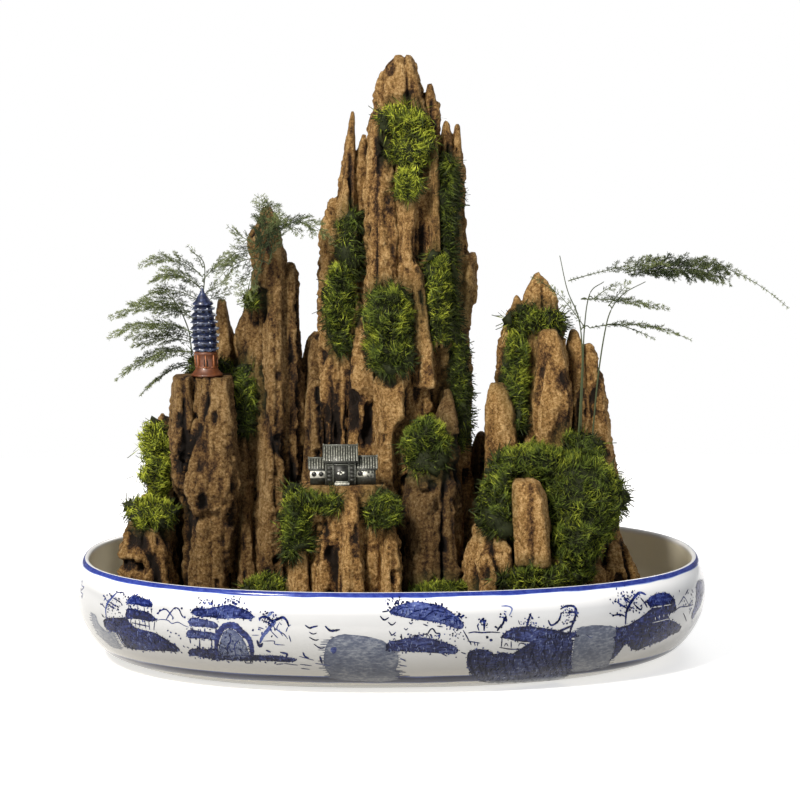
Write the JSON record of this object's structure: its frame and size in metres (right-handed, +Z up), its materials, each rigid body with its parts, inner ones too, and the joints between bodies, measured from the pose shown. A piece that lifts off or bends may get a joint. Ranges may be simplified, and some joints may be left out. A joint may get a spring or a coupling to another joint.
{
  "type": "tray landscape of stones",
  "caption": "Landscape penjing: upright tufa stones with moss, ferns, a small pagoda and a house, set up in an oval blue-and-white porcelain tray.",
  "frame": {"origin": "middle of the flat underside of the tray, on the surface it stands on", "axes": "+X to the right along the tray's length, +Y from the front to the back, +Z up"},
  "size_m": [0.4562, 0.288, 0.385],
  "materials": {
    "porcelain": "clear gloss glaze over a white body, cobalt landscape painted under it on the outside, grey-olive glaze inside",
    "tufa": "dry, porous and crumbly, upright flutes, golden tan to dark brown",
    "moss": "soft cushions of short shoots, yellow-green tips over dark brown-green",
    "fern_green": "flat sprays of fine grey-green needles",
    "fern_stem": "wiry smooth green stem",
    "pagoda_glaze": "blue glaze with pale streaks on the tower, bare orange clay on the base",
    "pewter": "dull grey casting with dark hollows and rubbed bright edges"
  },
  "bodies": {
    "root": {"tray": "porcelain", "main_peak": "tufa", "main_left_slab": "tufa", "main_right_slab": "tufa", "left_peak": "tufa", "saddle_stone": "tufa", "back_left_stone": "tufa", "pagoda_pillar": "tufa", "left_foot_stone": "tufa", "house_ledge": "tufa", "front_pillar": "tufa", "right_peak": "tufa", "right_side_slab": "tufa", "right_front_slab": "tufa", "right_left_slab": "tufa", "right_block": "tufa", "right_edge_stone": "tufa", "right_foot_stone": "tufa", "gap_stone": "tufa", "pagoda": "pagoda_glaze", "house": "pewter", "right_fern_stem_1": "fern_stem", "right_fern_stem_2": "fern_stem", "right_fern_stem_3": "fern_stem", "left_fern_stem_1": "fern_stem", "left_fern_stem_2": "fern_stem", "peak_fern_stem": "fern_stem", "summit_moss": "moss", "left_cleft_moss": "moss", "heart_moss": "moss", "right_cleft_moss": "moss", "right_strip_moss": "moss", "pillar_moss": "moss", "ledge_left_moss": "moss", "ledge_right_moss": "moss", "far_left_moss": "moss", "pagoda_back_moss": "moss", "peak_root_moss": "moss", "right_peak_moss": "moss", "right_cushion_moss": "moss", "tray_left_moss": "moss", "tray_middle_moss": "moss", "back_moss": "moss", "right_fern_frond_1": "fern_green", "right_fern_frond_2": "fern_green", "right_fern_frond_3": "fern_green", "right_fern_frond_4": "fern_green", "right_fern_frond_5": "fern_green", "right_fern_frond_6": "fern_green", "left_fern_frond_1": "fern_green", "left_fern_frond_2": "fern_green", "left_fern_frond_3": "fern_green", "left_fern_frond_4": "fern_green", "left_fern_frond_5": "fern_green", "left_fern_frond_6": "fern_green", "peak_fern_frond_1": "fern_green", "peak_fern_frond_2": "fern_green", "peak_fern_frond_3": "fern_green", "peak_fern_frond_4": "fern_green"}
  },
  "joints": []
}
